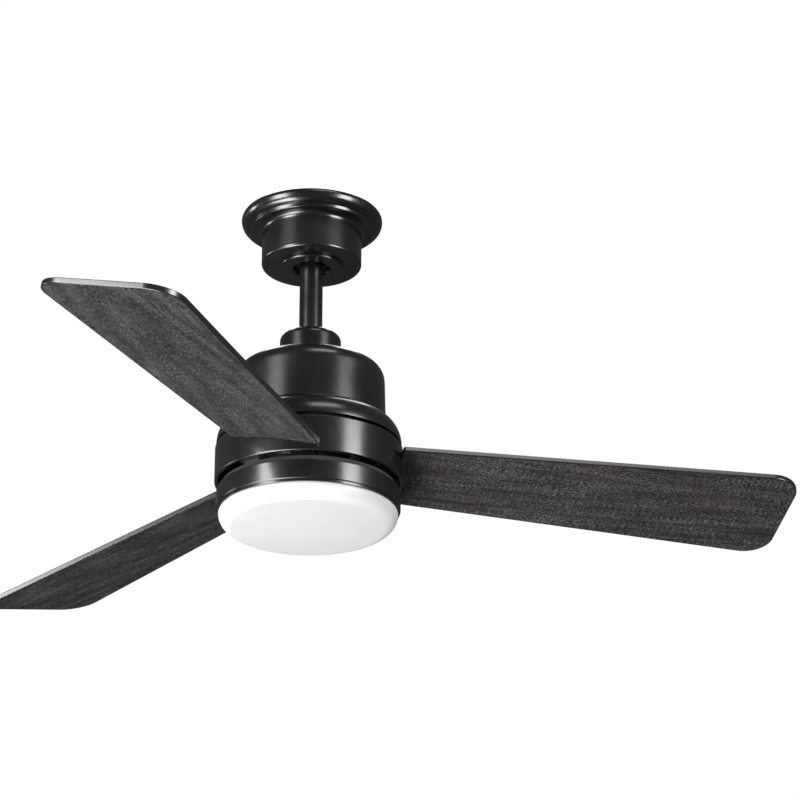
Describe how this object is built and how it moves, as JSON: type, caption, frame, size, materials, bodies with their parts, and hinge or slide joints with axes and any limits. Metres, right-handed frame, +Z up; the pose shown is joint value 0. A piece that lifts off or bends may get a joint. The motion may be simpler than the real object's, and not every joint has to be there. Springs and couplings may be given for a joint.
{
  "type": "ceiling fan with light",
  "caption": "Three-blade ceiling fan on a short downrod with a ball hanger, stepped round canopy, drum motor housing and a round opal LED light.",
  "frame": {"origin": "centre of the hanger bracket's ceiling face", "axes": "+Z up along the fan's axis, away from the room; the two ceiling-box slots lie along X"},
  "size_m": [0.9548, 1.0019, 0.3885],
  "materials": {
    "satin_black": "satin black enamel",
    "zinc_steel": "zinc-plated pressed steel",
    "bearing_steel": "ground bearing steel",
    "green_steel": "green grounding screw",
    "dark_cast": "dark cast metal",
    "black_steel": "black oxide",
    "cast_aluminium": "as cast and machined",
    "lamination": "stacked electrical steel",
    "copper": "enamelled copper windings",
    "brass_cage": "pressed cage with steel balls",
    "black_plastic": "moulded",
    "white_plastic": "moulded",
    "orange_plastic": "moulded",
    "lead_insulation": "insulated leads",
    "gasket_rubber": "matt",
    "blade_laminate": "charcoal weathered woodgrain laminate on fibreboard",
    "white_board": "white solder mask",
    "phosphor": "phosphor-coated chips",
    "opal": "opal white, matt"
  },
  "bodies": {
    "ceiling_mount": {"hanger_bracket": "zinc_steel", "hanger_cradle": "zinc_steel", "ground_screw": "green_steel", "canopy_screws": "zinc_steel", "receiver": "black_plastic"},
    "canopy": {"canopy": "satin_black"},
    "trim_ring": {"canopy_trim_ring": "satin_black"},
    "suspension": {"hanger_ball": "dark_cast", "ball_pin": "zinc_steel", "ball_set_screw": "black_steel", "downrod": "satin_black", "lead_wires": "lead_insulation", "wire_nuts": "orange_plastic", "coupling": "dark_cast", "coupling_pin": "zinc_steel", "coupling_clip": "zinc_steel", "coupling_screws": "black_steel", "coupling_cover": "satin_black", "motor_housing": "satin_black", "mounting_plate": "zinc_steel", "plate_screws": "zinc_steel", "motor_shaft": "zinc_steel", "stator_core": "lamination", "stator_windings": "copper", "bearing_inner_races": "bearing_steel", "reverse_switch": "black_plastic", "switch_cup": "zinc_steel", "capacitor": "black_plastic", "led_driver": "white_plastic", "lower_plate": "zinc_steel", "shaft_nuts": "zinc_steel", "light_ring": "satin_black", "ring_screws": "zinc_steel", "heat_sink": "cast_aluminium", "led_board": "white_board", "led_chips": "phosphor", "lens_catches": "zinc_steel"},
    "rotor": {"bearing_outer_races": "bearing_steel", "rotor_upper_shell": "cast_aluminium", "rotor_lower_shell": "cast_aluminium", "rotor_core": "lamination", "rotor_screws": "zinc_steel", "blade_hub": "cast_aluminium", "hub_screws": "zinc_steel", "blade_band": "satin_black", "band_screws": "zinc_steel", "blade_holder_1": "cast_aluminium", "blade_holder_2": "cast_aluminium", "blade_holder_3": "cast_aluminium", "holder_screws": "zinc_steel", "blade_gaskets": "gasket_rubber", "blade_screws": "zinc_steel", "blade_1": "blade_laminate", "blade_2": "blade_laminate", "blade_3": "blade_laminate"},
    "bearing_balls": {"upper_ball_cage": "brass_cage", "lower_ball_cage": "brass_cage"},
    "reverse_slider": {"reverse_slider": "black_plastic"},
    "lens": {"lens": "opal"}
  },
  "joints": [
    {"name": "canopy_twist", "type": "hinge", "parent": "ceiling_mount", "child": "canopy", "pos_m": [0, 0, 0], "axis": [0, 0, 1], "range_deg": [0, 20]},
    {"name": "trim_ring_drop", "type": "slide", "parent": "canopy", "child": "trim_ring", "axis": [0, 0, -1], "range_m": [0, 0.08]},
    {"name": "hanger_swing", "type": "hinge", "parent": "ceiling_mount", "child": "suspension", "pos_m": [0, 0, -0.038], "axis": [0, 1, 0], "range_deg": [-4, 4]},
    {"name": "blade_spin", "type": "hinge", "parent": "suspension", "child": "rotor", "pos_m": [0, 0, -0.3], "axis": [0, 0, 1], "continuous": true},
    {"name": "bearing_balls_spin", "type": "hinge", "parent": "suspension", "child": "bearing_balls", "pos_m": [0, 0, -0.246], "axis": [0, 0, 1], "continuous": true},
    {"name": "reverse_slide", "type": "slide", "parent": "suspension", "child": "reverse_slider", "axis": [0, 0, -1], "range_m": [-0.003, 0.003]},
    {"name": "lens_twist", "type": "hinge", "parent": "suspension", "child": "lens", "pos_m": [0, 0, -0.37], "axis": [0, 0, 1], "range_deg": [0, 25]}
  ],
  "couplings": [
    {"joint": "bearing_balls_spin", "follows": "blade_spin", "ratio": 0.6193}
  ]
}
